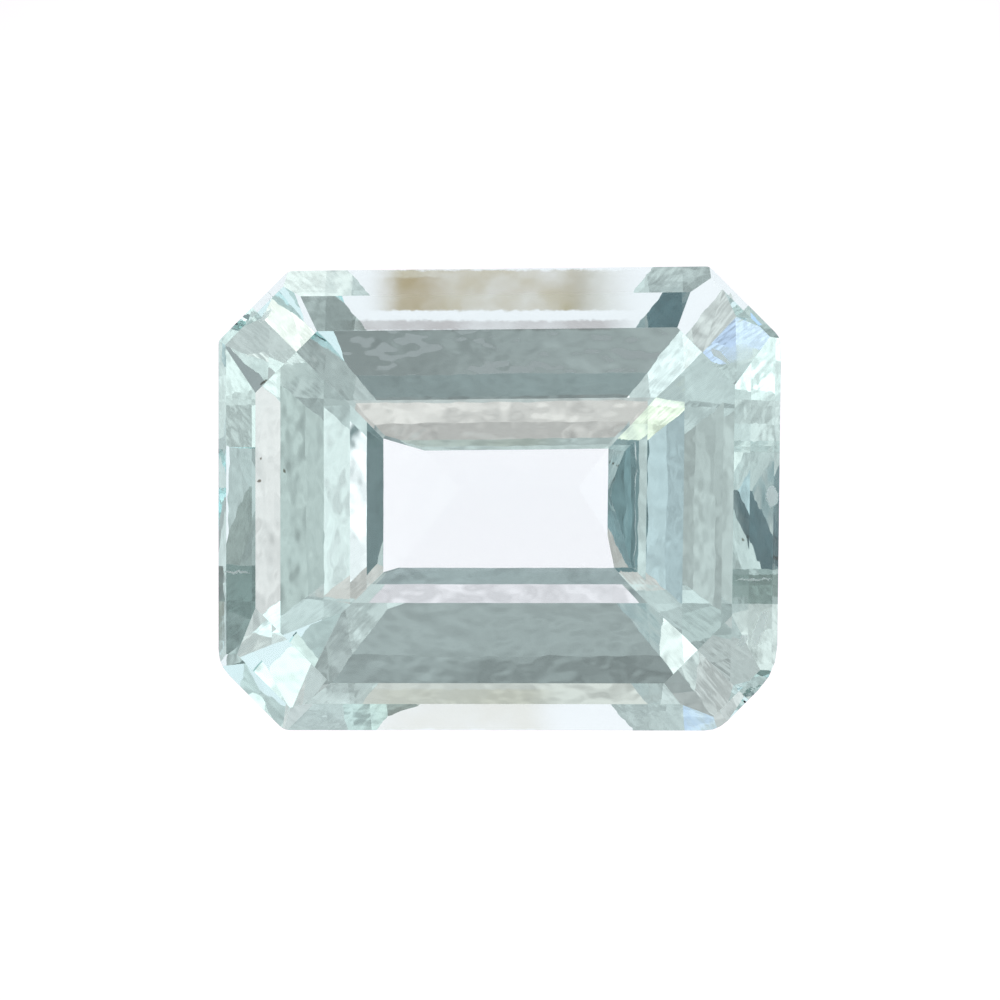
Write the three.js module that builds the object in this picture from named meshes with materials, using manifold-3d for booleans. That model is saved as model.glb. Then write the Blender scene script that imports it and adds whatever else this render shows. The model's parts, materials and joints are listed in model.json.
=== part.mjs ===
// A step-cut topaz: an octagon with a flat table, two crown steps, a girdle and three or more pavilion
// steps that meet in a keel. The whole stone is one solid, lying on one of its keel facets.
// Lengths are in millimetres and angles in degrees.
import * as THREE from 'three';
import { mergeVertices } from 'three/addons/utils/BufferGeometryUtils.js';
import Module from 'manifold-3d';

// Heights are measured from the upper edge of the girdle, before the stone is laid down.
const TABLE_HEIGHT = 0.7;
const GIRDLE_THICKNESS = 0.25;
const ROUGH_DEPTH = 9;
const LAP_SIZE = 40;

// The eight sides, anticlockwise from the right, seen from above the table. Angles are taken from the
// girdle plane. Each distance runs from the stone's axis: to the girdle, to the break between the two
// crown steps, to the table's edge, and to each break between two pavilion steps. The short sides have
// more pavilion steps than the others. The lower crown step is ground at the crown's angle, and the
// upper one runs from the break to the table's edge.
// The wear is the radius of the rounded corner between this side and the next.
const SIDES = [
  {
    azimuth: 359.3, girdle: 5.97, wear: 0.45,
    crown: { angle: 39, breakAt: 5.85, table: 5 },
    pavilion: { angles: [52, 50.5, 48, 47, 21], steps: [4.75, 3.9, 3.1, 2.25] },
  },
  {
    azimuth: 45, girdle: 6.7, wear: 0.2,
    crown: { angle: 50.5, breakAt: 6.55, table: 5.3 },
    pavilion: { angles: [66, 48.5, 19], steps: [3.45, 2.65] },
  },
  {
    azimuth: 90.6, girdle: 4.95, wear: 0.3,
    crown: { angle: 36, breakAt: 4.4, table: 3.65 },
    pavilion: { angles: [49.5, 45.5, 16], steps: [2.15, 1.05] },
  },
  {
    azimuth: 135, girdle: 6.67, wear: 0.2,
    crown: { angle: 55, breakAt: 6.5, table: 5.3 },
    pavilion: { angles: [68, 46, 22.5], steps: [3.15, 2.2] },
  },
  {
    azimuth: 180, girdle: 6.03, wear: 0.8,
    crown: { angle: 56.5, breakAt: 5.85, table: 5.2 },
    pavilion: { angles: [52, 50.5, 49, 48, 47, 17], steps: [4.75, 3.85, 3.3, 2.95, 2.6] },
  },
  {
    azimuth: 225, girdle: 6.76, wear: 0.3,
    crown: { angle: 43, breakAt: 6.3, table: 5.3 },
    pavilion: { angles: [51, 36, 12.5], steps: [3.05, 2.85] },
  },
  {
    azimuth: 270, girdle: 4.93, wear: 0.7,
    crown: { angle: 41, breakAt: 4.35, table: 3.9 },
    pavilion: { angles: [52, 47.5, 45.5, 13.5], steps: [2.25, 1.85, 1.5] },
  },
  {
    azimuth: 315, girdle: 6.78, wear: 1.4,
    crown: { angle: 43.5, breakAt: 6.5, table: 5.25 },
    pavilion: { angles: [64, 49.5, 13], steps: [2.95, 2.35] },
  },
];
const REST_SIDE = SIDES[6];

const TOPAZ_COLOUR = 0xcfe6e4;
const POLISHED_ROUGHNESS = 0.05;

const wasm = await Module();
wasm.setup();

/** The solid of a closed three.js geometry. */
function toSolid(geometry) {
  const bare = geometry.clone();
  bare.deleteAttribute('normal');
  bare.deleteAttribute('uv');
  const merged = mergeVertices(bare);
  const vertProperties = new Float32Array(merged.attributes.position.array);
  const triVerts = new Uint32Array(merged.index.array);
  return new wasm.Manifold(new wasm.Mesh({ numProp: 3, vertProperties, triVerts }));
}

/** The three.js geometry of a solid. */
function toGeometry(solid) {
  const mesh = solid.getMesh();
  const geometry = new THREE.BufferGeometry();
  geometry.setAttribute('position', new THREE.BufferAttribute(mesh.vertProperties, 3));
  geometry.setIndex(new THREE.BufferAttribute(mesh.triVerts, 1));
  return geometry;
}

/** Unit vector that points out of a side, in the girdle plane. */
function outward(side) {
  const azimuth = THREE.MathUtils.degToRad(side.azimuth);
  return new THREE.Vector2(Math.cos(azimuth), Math.sin(azimuth));
}

/** The girdle corner where a side meets the next one. */
function girdleCorner(side, next) {
  const a = outward(side);
  const b = outward(next);
  const cross = a.cross(b);
  return new THREE.Vector2(
    (side.girdle * b.y - next.girdle * a.y) / cross,
    (next.girdle * a.x - side.girdle * b.x) / cross,
  );
}

/** The girdle seen from above: eight straight sides, with each corner rounded by its wear. */
function girdleOutline() {
  const outline = new THREE.Shape();
  SIDES.forEach((side, i) => {
    const next = SIDES[(i + 1) % SIDES.length];
    const corner = girdleCorner(side, next);
    const along = outward(side).rotateAround(new THREE.Vector2(), Math.PI / 2);
    const onward = outward(next).rotateAround(new THREE.Vector2(), Math.PI / 2);
    const turn = Math.acos(along.dot(onward));
    const setback = side.wear * Math.tan(turn / 2);
    const start = corner.clone().addScaledVector(along, -setback);
    const end = corner.clone().addScaledVector(onward, setback);
    if (i === 0) {
      outline.moveTo(start.x, start.y);
    } else {
      outline.lineTo(start.x, start.y);
    }
    outline.quadraticCurveTo(corner.x, corner.y, end.x, end.y);
  });
  outline.closePath();
  return outline;
}

/** The rough: a straight prism of the girdle's outline, from the table down. */
function roughStone() {
  const prism = new THREE.ExtrudeGeometry(girdleOutline(), {
    depth: TABLE_HEIGHT + ROUGH_DEPTH,
    bevelEnabled: false,
    curveSegments: 3,
  });
  prism.translate(0, 0, -ROUGH_DEPTH);
  return toSolid(prism);
}

/** What a flat lap grinds away outside a facet: tilt is the facet's normal from the table's, upwards. */
function ground(side, tilt, distance, height) {
  const out = outward(side);
  const polar = THREE.MathUtils.degToRad(tilt);
  const normal = new THREE.Vector3(out.x * Math.sin(polar), out.y * Math.sin(polar), Math.cos(polar));
  const block = new THREE.BoxGeometry(LAP_SIZE, LAP_SIZE, LAP_SIZE);
  block.translate(0, 0, LAP_SIZE / 2);
  block.applyQuaternion(new THREE.Quaternion().setFromUnitVectors(new THREE.Vector3(0, 0, 1), normal));
  block.translate(out.x * distance, out.y * distance, height);
  return toSolid(block);
}

/** Every block that is ground from one side: two crown steps and each pavilion step. */
function sideCuts(side) {
  const { girdle, crown, pavilion } = side;
  const drop = (from, to, angle) => (from - to) * Math.tan(THREE.MathUtils.degToRad(angle));
  const breakHeight = drop(girdle, crown.breakAt, crown.angle);
  const upperSlope = Math.atan2(TABLE_HEIGHT - breakHeight, crown.breakAt - crown.table);
  const cuts = [
    ground(side, crown.angle, girdle, 0),
    ground(side, THREE.MathUtils.radToDeg(upperSlope), crown.breakAt, breakHeight),
  ];
  let distance = girdle;
  let height = -GIRDLE_THICKNESS;
  pavilion.angles.forEach((angle, i) => {
    cuts.push(ground(side, 180 - angle, distance, height));
    if (i < pavilion.steps.length) {
      height -= drop(distance, pavilion.steps[i], angle);
      distance = pavilion.steps[i];
    }
  });
  return cuts;
}

/** The cut stone, table upwards, with its girdle plane at height zero. */
function cutStone() {
  let stone = roughStone();
  for (const side of SIDES) {
    for (const block of sideCuts(side)) {
      stone = stone.subtract(block);
    }
  }
  return toGeometry(stone);
}

/** Lays the stone on the lowest facet of its rest side, with the middle of its underside at the origin. */
function layDown(geometry) {
  const restAngle = THREE.MathUtils.degToRad(REST_SIDE.pavilion.angles.at(-1));
  geometry.rotateX(restAngle);
  geometry.computeBoundingBox();
  const { min, max } = geometry.boundingBox;
  geometry.translate(-(min.x + max.x) / 2, -(min.y + max.y) / 2, -min.z);
  return geometry;
}

const topaz = new THREE.Mesh(
  layDown(cutStone()),
  new THREE.MeshStandardMaterial({
    color: TOPAZ_COLOUR,
    roughness: POLISHED_ROUGHNESS,
    metalness: 0,
    transparent: true,
    opacity: 0.35,
  }),
);
topaz.name = 'topaz';

const stone = new THREE.Group();
stone.add(topaz);

export default stone;
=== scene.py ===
"""A loose, step-cut topaz of very pale greenish blue, lying face up on a plain floor in soft studio light.

The stone is one crystal, so the scene has one piece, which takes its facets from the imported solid. Positions
on the stone are given in its own face frame: X to the right along its length, Y up across it and Z out of
the table, in millimetres from the middle of the girdle's upper edge.
"""
import json
import logging
import math
from dataclasses import dataclass
from enum import Enum

import bmesh
import bpy
from mathutils import Matrix, Vector


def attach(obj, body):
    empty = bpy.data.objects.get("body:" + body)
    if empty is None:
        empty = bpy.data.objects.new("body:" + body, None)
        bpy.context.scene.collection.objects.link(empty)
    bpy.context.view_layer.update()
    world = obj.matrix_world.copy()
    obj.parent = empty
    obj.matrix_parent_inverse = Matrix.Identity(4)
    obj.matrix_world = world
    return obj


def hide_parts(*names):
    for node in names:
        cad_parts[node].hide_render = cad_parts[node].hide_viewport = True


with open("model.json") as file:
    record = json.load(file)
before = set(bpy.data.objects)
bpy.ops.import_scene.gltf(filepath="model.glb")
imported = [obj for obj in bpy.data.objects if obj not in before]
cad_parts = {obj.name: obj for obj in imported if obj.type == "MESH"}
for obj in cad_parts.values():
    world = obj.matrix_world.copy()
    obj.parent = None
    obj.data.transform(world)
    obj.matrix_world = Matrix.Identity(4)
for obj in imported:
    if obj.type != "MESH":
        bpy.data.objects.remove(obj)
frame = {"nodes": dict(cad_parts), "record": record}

log = logging.getLogger("topaz")

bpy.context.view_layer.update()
MM = 0.001
BODY = "root"
TABLE_HEIGHT_MM = 0.7
WORN = "worn"


def to_linear(colour: str) -> tuple[float, float, float]:
    """Turns an sRGB hex colour to linear red, green and blue.

    Args:
        colour: Six hex digits after a hash sign.

    Returns:
        The three linear values, from 0 to 1.
    """
    values = [int(colour[i:i + 2], 16) / 255 for i in (1, 3, 5)]
    return tuple(v / 12.92 if v <= 0.04045 else ((v + 0.055) / 1.055) ** 2.4 for v in values)


def add_node(
    tree: bpy.types.NodeTree, kind: str, settings: dict | None = None, links: dict | None = None
) -> bpy.types.Node:
    """Adds a node to a tree, with its settings and incoming links.

    Args:
        tree: The node tree that gets the node.
        kind: The node's type name.
        settings: Values by the name of a node property, or by the name or number of an input socket.
        links: Output sockets by the name or number of the input socket that they feed.

    Returns:
        The new node.
    """
    node = tree.nodes.new(kind)
    for name, value in (settings or {}).items():
        if isinstance(name, str) and hasattr(node, name):
            setattr(node, name, value)
        else:
            node.inputs[name].default_value = value
    for name, socket in (links or {}).items():
        tree.links.new(socket, node.inputs[name])
    return node


@dataclass(frozen=True)
class FaceFrame:
    """The stone's own frame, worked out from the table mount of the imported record.

    Attributes:
        origin: Middle of the girdle's upper edge, in metres in the row frame.
        lean: Angle between the table's normal and straight up, in radians.
    """

    origin: Vector
    lean: float

    @classmethod
    def from_record(cls, record: dict, crown_height_mm: float) -> "FaceFrame":
        """Reads the frame from the record's table mount.

        Args:
            record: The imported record.
            crown_height_mm: Height of the table over the girdle's upper edge.

        Returns:
            The face frame.
        """
        table = next(m for m in record["mounts"] if m["name"] == "table")
        normal = Vector(table["axis"]).normalized()
        origin = Vector(table["pos_m"]) - normal * crown_height_mm * MM
        return cls(origin, math.atan2(-normal.y, normal.z))

    def axes(self) -> Matrix:
        """Rotation from the face frame to the row frame."""
        return Matrix.Rotation(self.lean, 3, "X")

    def to_row(self, x: float, y: float, z: float) -> Vector:
        """Point of the row frame, in metres, for a point of the face frame, in millimetres."""
        return self.origin + self.axes() @ Vector((x, y, z)) * MM


class Blemish(Enum):
    """What a small mark on the stone is."""

    CHIP = "chip"
    SPECK = "speck"
    RUB = "rub"


@dataclass(frozen=True)
class Mark:
    """One small mark on the crown, placed in the face frame in millimetres.

    Attributes:
        kind: What the mark is.
        x: Place along the stone.
        y: Place across the stone.
        length: Its length.
        width: Its width.
        turn: Angle of its length from the X axis, in degrees.
    """

    kind: Blemish
    x: float
    y: float
    length: float
    width: float
    turn: float = 0.0


@dataclass(frozen=True)
class PaintedShade:
    """Painted shade on the crown: a tint that stands in for the shaded floor seen through the stone. It lies
    in a soft-edged box of the face frame, in millimetres.

    Attributes:
        x: Where it begins and ends along the stone.
        y: Where it begins and ends across the stone.
        colour: The sRGB colour of the painted shade, multiplied into the light that passes through it.
    """

    x: tuple[float, float]
    y: tuple[float, float]
    colour: str


@dataclass(frozen=True)
class PolishedTopaz:
    """Clear topaz, cut and polished on a lap.

    To the eye it is clear and bright, with mirror-like facets. The lap leaves slow ripples that mottle what
    is seen through them, and wear leaves chips, rubs and dull junctions. Patches of painted shade are tinted
    into the colour of some crown strips, standing in for the shaded floor seen through the stone.

    Attributes:
        name: Name of the material.
        ior: Refractive index of topaz.
        roughness: Roughness of the polish.
        chip_roughness: Roughness in a chip.
        rub_roughness: What a rub adds to the roughness.
        worn_roughness: What a worn junction adds to the roughness.
        tint: The sRGB colour that light takes on inside.
        tint_density: How much light is taken on its way, per metre.
        speck_colour: The sRGB colour of a speck.
        ripple_mm: Length of the lap ripples.
        ripple_relief_mm: Height of the lap ripples.
        scatter_grain_mm: Size of the raggedness of every mark and patch of painted shade.
        scatter_mm: How far that raggedness moves an edge, from side to side.
        mark_height_mm: Height of the marks over the girdle.
        mark_reach_mm: How far up and down a mark reaches.
        mark_fade: Where a mark's edge ends and begins, as a share of its half-length.
        marks: The small marks.
        painted_shades: The patches of painted shade.
        shade_side_mm: Half-width of a painted shade's soft left and right ends.
        shade_edge_mm: Width of a painted shade's upper and lower edges.
        shade_patch_mm: Size of the patches in a painted shade.
        shade_cover: Values of the patches' noise that give no painted shade and all of it.
        crown_low_mm: Lowest height that has painted shade.
        crown_fade_mm: Height in which painted shade begins there.
    """

    name: str = "polished_topaz"
    ior: float = 1.62
    roughness: float = 0.012
    chip_roughness: float = 0.5
    rub_roughness: float = 0.16
    worn_roughness: float = 0.3
    tint: str = "#5be0de"
    tint_density: float = 26.0
    speck_colour: str = "#5c5348"
    ripple_mm: float = 1.1
    ripple_relief_mm: float = 0.0044
    scatter_grain_mm: float = 0.2
    scatter_mm: float = 0.16
    mark_height_mm: float = 0.35
    mark_reach_mm: float = 0.75
    mark_fade: tuple[float, float] = (1.1, 0.8)
    marks: tuple[Mark, ...] = ()
    painted_shades: tuple[PaintedShade, ...] = ()
    shade_side_mm: float = 0.5
    shade_edge_mm: float = 0.0625
    shade_patch_mm: float = 1.3
    shade_cover: tuple[float, float] = (-0.1, 0.75)
    crown_low_mm: float = -0.2
    crown_fade_mm: float = 0.05

    def place_mark(
        self, tree: bpy.types.NodeTree, place: bpy.types.NodeSocket, mark: Mark
    ) -> bpy.types.NodeSocket:
        """Makes the mask of one mark: one in its middle, falling to nothing at its ragged edge.

        Args:
            tree: The material's nodes.
            place: Position in the face frame, in millimetres.
            mark: The mark.

        Returns:
            The mask.
        """
        near = add_node(tree, "ShaderNodeMapping", {"vector_type": "TEXTURE"}, {"Vector": place})
        near.inputs["Location"].default_value = (mark.x, mark.y, self.mark_height_mm)
        near.inputs["Rotation"].default_value = (0, 0, math.radians(mark.turn))
        near.inputs["Scale"].default_value = (mark.length / 2, mark.width / 2, self.mark_reach_mm)
        far = add_node(tree, "ShaderNodeVectorMath", {"operation": "LENGTH"}, {0: near.outputs["Vector"]})
        return self.rise(tree, far.outputs["Value"], *self.mark_fade)

    def mask(
        self, tree: bpy.types.NodeTree, place: bpy.types.NodeSocket, kind: Blemish
    ) -> bpy.types.NodeSocket:
        """Joins the masks of every mark of one kind.

        Args:
            tree: The material's nodes.
            place: Position in the face frame, in millimetres.
            kind: The kind of mark.

        Returns:
            The joined mask.
        """
        joined = None
        for mark in (m for m in self.marks if m.kind is kind):
            one = self.place_mark(tree, place, mark)
            joined = one if joined is None else add_node(
                tree, "ShaderNodeMath", {"operation": "MAXIMUM"}, {0: joined, 1: one}
            ).outputs["Value"]
        if joined is None:
            joined = add_node(tree, "ShaderNodeValue").outputs["Value"]
            joined.default_value = 0.0
        return joined

    def rise(
        self, tree: bpy.types.NodeTree, value: bpy.types.NodeSocket, start: float, end: float
    ) -> bpy.types.NodeSocket:
        """Smooth step from nothing at start to one at end, in either direction."""
        return add_node(
            tree, "ShaderNodeMapRange",
            {"interpolation_type": "SMOOTHSTEP", "From Min": start, "From Max": end}, {"Value": value},
        ).outputs["Result"]

    def paint_shades(
        self, tree: bpy.types.NodeTree, place: bpy.types.NodeSocket, colour: bpy.types.NodeSocket
    ) -> bpy.types.NodeSocket:
        """Paints shade into a colour: tints it by each patch of painted shade, with patches of more and less
        in it.

        Args:
            tree: The material's nodes.
            place: Position in the face frame, in millimetres.
            colour: The colour under the painted shade.

        Returns:
            The colour with the painted shade in it.
        """
        axes = add_node(tree, "ShaderNodeSeparateXYZ", {}, {"Vector": place}).outputs
        patch = add_node(
            tree, "ShaderNodeTexNoise", {"Scale": 1 / self.shade_patch_mm, "Detail": 3.0, "Roughness": 0.55},
            {"Vector": place},
        )
        amount = self.rise(tree, patch.outputs["Fac"], *self.shade_cover)
        side, edge, low = self.shade_side_mm, self.shade_edge_mm, self.crown_low_mm
        # Each patch of painted shade multiplies its colour into the stone's colour, darkening and warming what
        # is seen through that strip.
        for painted_patch in self.painted_shades:
            (left, right), (lower, upper) = painted_patch.x, painted_patch.y
            limits = [
                self.rise(tree, axes["X"], left - side, left + side),
                self.rise(tree, axes["X"], right + side, right - side),
                self.rise(tree, axes["Y"], lower, lower + edge),
                self.rise(tree, axes["Y"], upper, upper - edge),
                self.rise(tree, axes["Z"], low, low + self.crown_fade_mm),
            ]
            share = amount
            for limit in limits:
                share = add_node(
                    tree, "ShaderNodeMath", {"operation": "MULTIPLY"}, {0: share, 1: limit}
                ).outputs["Value"]
            colour = add_node(
                tree, "ShaderNodeMixRGB", {"blend_type": "MULTIPLY", "Color2": (*to_linear(painted_patch.colour), 1)},
                {"Fac": share, "Color1": colour},
            ).outputs["Color"]
        return colour

    def material(self, face: FaceFrame) -> bpy.types.Material:
        """Makes the material.

        Args:
            face: The stone's face frame.

        Returns:
            The finished material.
        """
        material = bpy.data.materials.new(self.name)
        material.use_nodes = True
        tree = material.node_tree
        tree.nodes.clear()
        row = add_node(tree, "ShaderNodeTexCoord").outputs["Object"]
        place = add_node(tree, "ShaderNodeMapping", {"vector_type": "TEXTURE"}, {"Vector": row})
        place.inputs["Location"].default_value = face.origin
        place.inputs["Rotation"].default_value = (face.lean, 0, 0)
        place.inputs["Scale"].default_value = (MM, MM, MM)
        place = place.outputs["Vector"]
        ragged = add_node(
            tree, "ShaderNodeTexNoise",
            {"Scale": 1 / self.scatter_grain_mm, "Detail": 3.0, "Roughness": 0.7}, {"Vector": place},
        )
        scatter = Vector((self.scatter_mm, self.scatter_mm, 0.0))
        shaken = add_node(
            tree, "ShaderNodeVectorMath", {"operation": "MULTIPLY_ADD", 1: scatter},
            {0: ragged.outputs["Color"], 2: place},
        ).outputs["Vector"]
        centred = add_node(
            tree, "ShaderNodeVectorMath", {"operation": "SUBTRACT", 1: scatter / 2}, {0: shaken}
        ).outputs["Vector"]
        chips = self.mask(tree, centred, Blemish.CHIP)
        specks = self.mask(tree, centred, Blemish.SPECK)
        rubs = self.mask(tree, centred, Blemish.RUB)
        colour = add_node(
            tree, "ShaderNodeMixRGB", {"Color1": (1, 1, 1, 1), "Color2": (*to_linear(self.speck_colour), 1)},
            {"Fac": specks},
        ).outputs["Color"]
        # Painted shade is tinted into the stone's colour here.
        colour = self.paint_shades(tree, centred, colour)
        rough = add_node(
            tree, "ShaderNodeMapRange",
            {"To Min": self.roughness, "To Max": self.chip_roughness}, {"Value": chips},
        )
        rough = add_node(
            tree, "ShaderNodeMath", {"operation": "MULTIPLY_ADD", 1: self.rub_roughness},
            {0: rubs, 2: rough.outputs["Result"]},
        )
        worn = add_node(tree, "ShaderNodeAttribute", {"attribute_name": WORN}).outputs["Fac"]
        scuffed = add_node(
            tree, "ShaderNodeMath", {"operation": "MULTIPLY_ADD", 1: self.worn_roughness},
            {0: worn, 2: rough.outputs["Value"]},
        )
        ripple = add_node(
            tree, "ShaderNodeTexNoise", {"Scale": 1 / self.ripple_mm, "Detail": 2.0, "Roughness": 0.45},
            {"Vector": place},
        )
        relief = add_node(
            tree, "ShaderNodeBump", {"Strength": 1.0, "Distance": self.ripple_relief_mm * MM},
            {"Height": ripple.outputs["Fac"]},
        )
        surface = add_node(
            tree, "ShaderNodeBsdfPrincipled", {"IOR": self.ior, "Transmission Weight": 1.0},
            {"Base Color": colour, "Roughness": scuffed.outputs["Value"], "Normal": relief.outputs["Normal"]},
        )
        depth = add_node(
            tree, "ShaderNodeVolumeAbsorption",
            {"Color": (*to_linear(self.tint), 1), "Density": self.tint_density},
        )
        add_node(
            tree, "ShaderNodeOutputMaterial", {},
            {"Surface": surface.outputs["BSDF"], "Volume": depth.outputs["Volume"]},
        )
        return material


@dataclass
class CutStone:
    """The topaz itself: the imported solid's facets, with the fine wear of their junctions.

    Attributes:
        face: The stone's face frame.
        node: Name of the CAD node that it stands for.
        wear_mm: Width of the worn line along each junction of two facets.
        wear_steps: Rows of faces across a worn line.
        flat_degrees: Largest turn between two triangles of one facet.
        junction_degrees: Smallest turn between two facets that wears to a line.
        weld_mm: Largest gap between corners that are one.
    """

    face: FaceFrame
    node: str = "topaz"
    wear_mm: float = 0.025
    wear_steps: int = 2
    flat_degrees: float = 0.2
    junction_degrees: float = 3.0
    weld_mm: float = 0.0001

    def facets(self) -> bpy.types.Mesh:
        """Copies the solid's triangles, joins those of one facet and wears the junctions to fine lines.

        The faces of the worn lines get one in the attribute WORN, and the facets get nothing. Every face is
        shaded flat, without the stored normals, because a bent normal would bend the light in the stone.

        Returns:
            The faceted mesh.
        """
        mesh = frame["nodes"][self.node].data.copy()
        stored_normals = mesh.attributes.get("custom_normal")
        if stored_normals:
            mesh.attributes.remove(stored_normals)
        work = bmesh.new()
        work.from_mesh(mesh)
        layer = work.faces.layers.float.new(WORN)
        bmesh.ops.remove_doubles(work, verts=work.verts, dist=self.weld_mm * MM)
        bmesh.ops.dissolve_limit(
            work, angle_limit=math.radians(self.flat_degrees), verts=work.verts, edges=work.edges
        )
        sharp = [e for e in work.edges if e.calc_face_angle(0.0) > math.radians(self.junction_degrees)]
        worn = bmesh.ops.bevel(
            work, geom=sharp, offset=self.wear_mm * MM / 2, offset_type="WIDTH", segments=self.wear_steps,
            profile=0.5, affect="EDGES", clamp_overlap=True,
        )
        for face in worn["faces"]:
            face[layer] = 1.0
        work.to_mesh(mesh)
        work.free()
        mesh.shade_flat()
        mesh.name = "topaz_stone"
        return mesh

    def build(self) -> bpy.types.Object:
        """Makes the stone's object.

        Returns:
            The stone.
        """
        stone = bpy.data.objects.new("topaz_stone", self.facets())
        bpy.context.scene.collection.objects.link(stone)
        return stone

    def dress(self, stone: bpy.types.Object, finish: PolishedTopaz) -> None:
        """Gives the stone its finish and its place in the frame.

        Args:
            stone: The stone's object.
            finish: The finish of its facets.
        """
        stone.data.materials.clear()
        stone.data.materials.append(finish.material(self.face))
        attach(stone, BODY)
        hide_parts(self.node)


@dataclass(frozen=True)
class Card:
    """One soft-edged card of the studio's dome, seen from the stone.

    Attributes:
        place: Where it hangs, in words.
        azimuth: Degrees anticlockwise from +X.
        elevation: Degrees above the floor.
        reach: Half-width in degrees, to the middle of its soft edge.
        softness: Width of the soft edge in degrees.
        colour: The card's sRGB colour.
        strength: The card's brightness.
    """

    place: str
    azimuth: float
    elevation: float
    reach: float
    softness: float
    colour: str
    strength: float

    def direction(self) -> tuple[float, float, float]:
        """Unit vector from the stone to the card's middle."""
        a, e = math.radians(self.azimuth), math.radians(self.elevation)
        return (math.cos(e) * math.cos(a), math.cos(e) * math.sin(a), math.sin(e))


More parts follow.
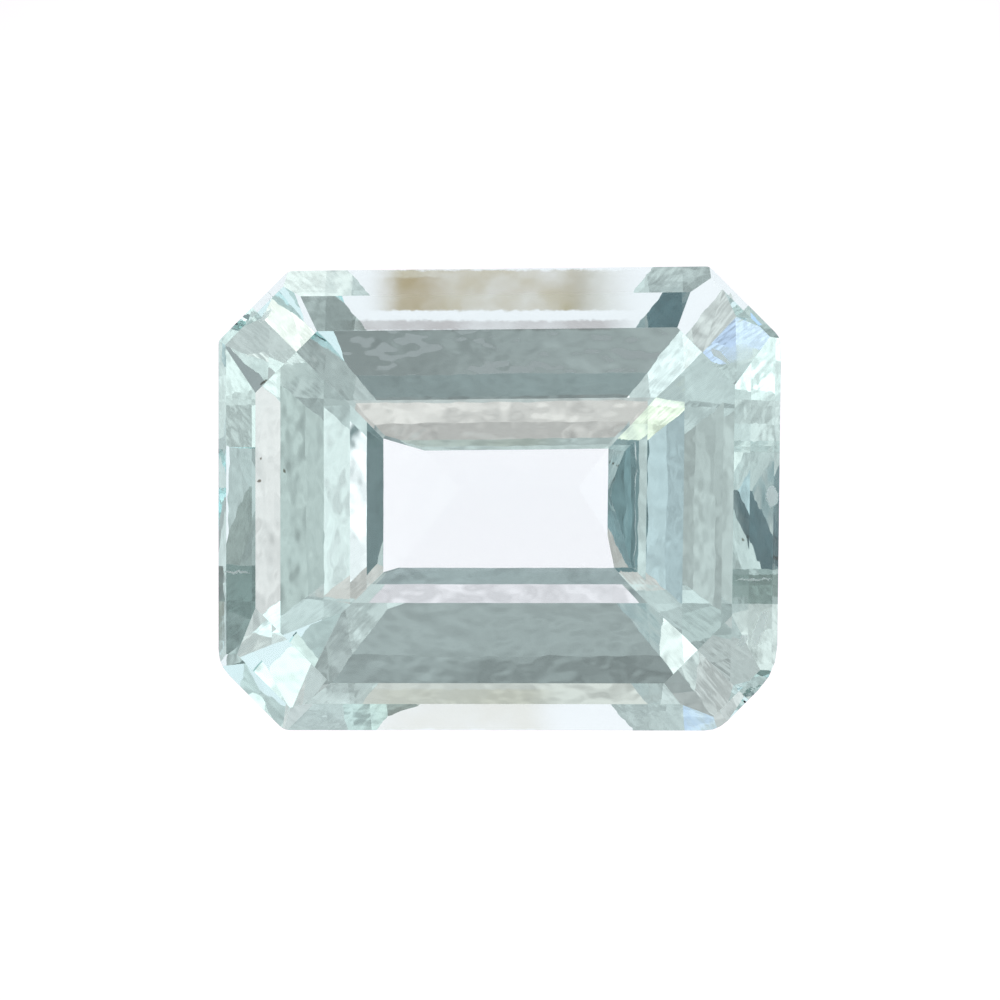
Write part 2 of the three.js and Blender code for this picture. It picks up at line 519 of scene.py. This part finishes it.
@dataclass
class Studio:
    """The plain pale floor, the soft dome of light and the camera over the stone.

    Attributes:
        face: The stone's face frame, which the camera looks at.
        floor_size_m: Length of the floor's sides.
        floor_colour: The floor's own sRGB colour.
        floor_gap_mm: Depth of the floor under the stone, so that two surfaces don't lie in one plane.
        glow: Light from below the floor near the stone, in red, green and blue.
        far_glow: The same far from the stone.
        pool_mm: Distances from the stone at which the glow begins and ends to fade.
        dome_colour: The dome's sRGB colour.
        dome_strength: The dome's brightness.
        fold_degrees: Width of the folds of the dome's cloth, seen from the stone.
        fold_contrast: How much brighter or darker than the rest a fold is.
        fold_range: Values of the folds' noise that are the darkest and the brightest.
        cards: The dome's cards. Each one covers what it overlaps of those before it.
        camera_right: How far to the right of the table's normal the camera stands, for a distance of one.
        camera_up: How far above the normal it stands, in the same way.
        lens_mm: The camera's focal length.
        sensor_mm: The width of its sensor.
        view_width_mm: Width of what it sees at the stone.
        inner_reflections: How many times light may cross the stone.
    """

    face: FaceFrame
    floor_size_m: float = 2.0
    floor_colour: str = "#6e6e6e"
    floor_gap_mm: float = 0.02
    glow: tuple[float, float, float] = (1.03, 0.96, 1.01)
    far_glow: tuple[float, float, float] = (0.27, 0.28, 0.29)
    pool_mm: tuple[float, float] = (13.0, 30.0)
    dome_colour: str = "#fffdfc"
    dome_strength: float = 0.66
    fold_degrees: float = 3.0
    fold_contrast: float = 0.45
    fold_range: tuple[float, float] = (0.3, 0.7)
    cards: tuple[Card, ...] = ()
    camera_right: float = 0.032
    camera_up: float = 0.014
    lens_mm: float = 400.0
    sensor_mm: float = 36.0
    view_width_mm: float = 21.39
    inner_reflections: int = 14

    def floor_glow(self, tree: bpy.types.NodeTree) -> bpy.types.NodeSocket:
        """Colour of the light from below: full near the stone and dimmer far away.

        Args:
            tree: The floor material's nodes.

        Returns:
            The colour of the glow.
        """
        near, beyond = self.pool_mm
        place = add_node(tree, "ShaderNodeTexCoord").outputs["Object"]
        away = add_node(tree, "ShaderNodeVectorMath", {"operation": "LENGTH"}, {0: place})
        far = add_node(
            tree, "ShaderNodeMapRange",
            {"interpolation_type": "SMOOTHSTEP", "From Min": near * MM, "From Max": beyond * MM},
            {"Value": away.outputs["Value"]},
        )
        return add_node(
            tree, "ShaderNodeMixRGB", {"Color1": (*self.glow, 1), "Color2": (*self.far_glow, 1)},
            {"Fac": far.outputs["Result"]},
        ).outputs["Color"]

    def build_floor(self) -> None:
        """Lays the table top just under the stone: cast opal acrylic lit from below, an even pale glow."""
        half, level = self.floor_size_m / 2, -self.floor_gap_mm * MM
        corners = [(-half, -half, level), (half, -half, level), (half, half, level), (-half, half, level)]
        mesh = bpy.data.meshes.new("studio_floor")
        mesh.from_pydata(corners, [], [(0, 1, 2, 3)])
        floor = bpy.data.objects.new("studio_floor", mesh)
        bpy.context.scene.collection.objects.link(floor)
        opal = bpy.data.materials.new("opal_acrylic_lit_from_below")
        opal.use_nodes = True
        opal.cycles.emission_sampling = "NONE"
        tree = opal.node_tree
        tree.nodes.clear()
        surface = add_node(
            tree, "ShaderNodeBsdfPrincipled",
            {"Base Color": (*to_linear(self.floor_colour), 1), "Roughness": 0.8, "IOR": 1.49,
             "Specular IOR Level": 0.1, "Emission Strength": 1.0},
            {"Emission Color": self.floor_glow(tree)},
        )
        add_node(tree, "ShaderNodeOutputMaterial", {}, {"Surface": surface.outputs["BSDF"]})
        mesh.materials.append(opal)

    def build_dome(self) -> None:
        """Lights the studio: a dome of pleated cloth, with soft cards laid over it one after another."""
        world = bpy.data.worlds.new("studio_dome")
        bpy.context.scene.world = world
        world.use_nodes = True
        world.cycles.sampling_method = "NONE"
        tree = world.node_tree
        tree.nodes.clear()
        look = add_node(tree, "ShaderNodeTexCoord").outputs["Generated"]
        dome = [c * self.dome_strength for c in to_linear(self.dome_colour)]
        colour = add_node(tree, "ShaderNodeRGB")
        colour.outputs[0].default_value = (*dome, 1)
        colour = colour.outputs[0]
        for card in self.cards:
            near = add_node(
                tree, "ShaderNodeVectorMath", {"operation": "DOT_PRODUCT", 1: card.direction()}, {0: look}
            )
            inner = math.cos(math.radians(max(0.0, card.reach - card.softness / 2)))
            outer = math.cos(math.radians(card.reach + card.softness / 2))
            share = add_node(
                tree, "ShaderNodeMapRange",
                {"interpolation_type": "SMOOTHSTEP", "From Min": outer, "From Max": inner},
                {"Value": near.outputs["Value"]},
            )
            light = [c * card.strength for c in to_linear(card.colour)]
            colour = add_node(
                tree, "ShaderNodeMixRGB", {"Color2": (*light, 1)},
                {"Fac": share.outputs["Result"], "Color1": colour},
            ).outputs["Color"]
        folds = add_node(
            tree, "ShaderNodeTexNoise",
            {"Scale": 1 / math.radians(self.fold_degrees), "Detail": 3.0, "Roughness": 0.6}, {"Vector": look},
        )
        darkest, brightest = self.fold_range
        level = add_node(
            tree, "ShaderNodeMapRange",
            {"From Min": darkest, "From Max": brightest,
             "To Min": 1 - self.fold_contrast, "To Max": 1 + self.fold_contrast},
            {"Value": folds.outputs["Fac"]},
        )
        back = add_node(
            tree, "ShaderNodeBackground", {}, {"Color": colour, "Strength": level.outputs["Result"]}
        )
        add_node(tree, "ShaderNodeOutputWorld", {}, {"Surface": back.outputs["Background"]})

    def build_camera(self) -> None:
        """Looks down on the table at the photograph's angle, through a long lens."""
        right, up = self.camera_right, self.camera_up
        toward = Vector((right, up, math.sqrt(1 - right * right - up * up)))
        across = Vector((0, 1, 0)).cross(toward).normalized()
        over = toward.cross(across)
        axes = self.face.axes() @ Matrix((across, over, toward)).transposed()
        distance = self.view_width_mm * MM * self.lens_mm / self.sensor_mm
        data = bpy.data.cameras.new("camera")
        data.lens = self.lens_mm
        data.sensor_width = self.sensor_mm
        data.clip_start = distance / 100
        data.clip_end = distance * 100
        camera = bpy.data.objects.new("camera", data)
        bpy.context.scene.collection.objects.link(camera)
        place = self.face.origin + axes @ Vector((0, 0, distance))
        camera.matrix_world = Matrix.Translation(place) @ axes.to_4x4()
        bpy.context.scene.camera = camera

    def set_light_paths(self) -> None:
        """Lets light cross the stone as many times as its inner reflections need."""
        scene = bpy.context.scene
        scene.cycles.max_bounces = self.inner_reflections
        scene.cycles.glossy_bounces = self.inner_reflections
        scene.cycles.transmission_bounces = self.inner_reflections
        scene.view_settings.view_transform = "Standard"


MARKS = (
    Mark(Blemish.CHIP, 5.82, 0.1, 0.5, 0.28, 90),
    Mark(Blemish.CHIP, 5.55, -2.75, 0.9, 0.22, 70),
    Mark(Blemish.CHIP, 5.2, -3.0, 0.35, 0.16, 60),
    Mark(Blemish.CHIP, 4.7, 3.1, 0.5, 0.16, -40),
    Mark(Blemish.CHIP, -5.0, 3.95, 0.4, 0.1, 48),
    Mark(Blemish.CHIP, -5.62, -1.54, 0.66, 0.05),
    Mark(Blemish.CHIP, 5.44, -1.69, 0.9, 0.05),
    Mark(Blemish.SPECK, -5.07, 0.9, 0.09, 0.08),
    Mark(Blemish.SPECK, -5.12, 0.42, 0.1, 0.08),
    Mark(Blemish.SPECK, -4.58, 0.63, 0.08, 0.1),
    Mark(Blemish.SPECK, -5.02, 2.52, 0.22, 0.09, 35),
    Mark(Blemish.RUB, 5.1, 3.1, 0.7, 0.5, 30),
)
# Painted shade: beige and grey tints on the crown's edge strips that stand in for the shaded floor seen
# through the stone.
PAINTED_SHADES = (
    PaintedShade((-2.5, 1.9), (4.02, 4.95), "#a2916a"),
    PaintedShade((-2.3, -1.3), (4.02, 4.8), "#cbb895"),
    PaintedShade((1.4, 2.6), (4.02, 4.95), "#cfccc0"),
    PaintedShade((-3.3, 2.6), (3.6, 3.87), "#a69d9b"),
    PaintedShade((-2.7, 1.0), (-4.95, -4.0), "#e8e2d4"),
)
CARDS = (
    Card("north upper dark", 98, 56, 14, 10, "#ecfffa", 0.25),
    Card("north low", 92, 24, 13, 8, "#f6ffff", 0.33),
    Card("north floor edge", 92, 4, 6, 4, "#fffbf5", 0.82),
    Card("west upper", 165, 54, 8, 4, "#caf1ff", 0.17),
    Card("west low", 183, 12, 10, 6, "#fbfffd", 0.55),
    Card("west mid", 187, 29, 8, 5, "#e9f8ff", 0.64),
    Card("east upper teal", 204, 60, 9.5, 5, "#daf7ff", 0.3),
    Card("east inner teal", 192, 47, 6, 3, "#daf7ff", 0.3),
    Card("south west upper", 245, 62, 5, 3, "#fffcfa", 0.45),
    Card("south west high", 237, 53, 7, 4, "#fffaf7", 1.2),
    Card("north west spark", 143, 72, 5, 3, "#fffdfd", 1.35),
    Card("south horizon", 269, 6, 13, 6, "#ebfdff", 0.29),
    Card("south horizon low", 269, -4, 7.5, 2, "#f9ffff", 0.38),
    Card("south", 280, 24, 6, 4, "#fff9f7", 0.95),
    Card("south east", 304, 20, 17, 6, "#fffbf8", 1.35),
    Card("south west", 250, 33, 13, 6, "#fffaf7", 0.88),
    Card("zenith", 262, 87, 8, 1.5, "#ffeae6", 0.8),
    Card("high dark", 267, 74, 4, 1, "#fafcff", 0.42),
    Card("high bright", 268, 65.5, 4.8, 1, "#ffeaf0", 0.96),
    Card("inner white", 218, 70, 3.3, 1, "#fff0f2", 1.35),
    Card("inner dark", 234, 74.5, 4, 1, "#e9fbff", 0.27),
    Card("yellow", 286, 63, 4.5, 3, "#fff6e1", 1.3),
    Card("east mottled", 357, 8, 5, 3, "#fff2f1", 0.9),
    Card("east band", 355, 18, 4.5, 3, "#f9fffb", 0.57),
    Card("east window", 351, 31, 6, 4, "#f7fffc", 0.75),
    Card("east upper", 20, 66, 10, 5, "#fffffd", 0.46),
    Card("east dark", 13, 55, 5, 3, "#fffffa", 0.42),
    Card("north east", 52, 42, 13, 5, "#fff5f2", 0.9),
    Card("ne low", 27, 43, 5, 3, "#fff7f4", 1.05),
    Card("ne dark", 76, 51, 6, 4, "#f3fff7", 0.3),
    Card("bl spark", 321, 24, 6, 3, "#fffaf6", 1.05),
    Card("tl spark", 293, 7, 6, 3, "#fffbf4", 1.6),
    Card("lavender", 221, 19, 7, 4, "#cfdbff", 1.25),
)


def main() -> None:
    """Builds the stone and its studio in order and reports each piece."""
    logging.basicConfig(level=logging.INFO, format="%(name)s: %(message)s")
    face = FaceFrame.from_record(frame["record"], TABLE_HEIGHT_MM)
    studio = Studio(face, cards=CARDS)
    studio.build_floor()
    studio.build_dome()
    studio.build_camera()
    studio.set_light_paths()
    log.info("studio ready")
    cut = CutStone(face)
    stone = cut.build()
    # The finish carries the marks and the painted shade.
    cut.dress(stone, PolishedTopaz(marks=MARKS, painted_shades=PAINTED_SHADES))
    log.info("stone with %d facets and junctions", len(stone.data.polygons))


if __name__ == "__main__":
    main()
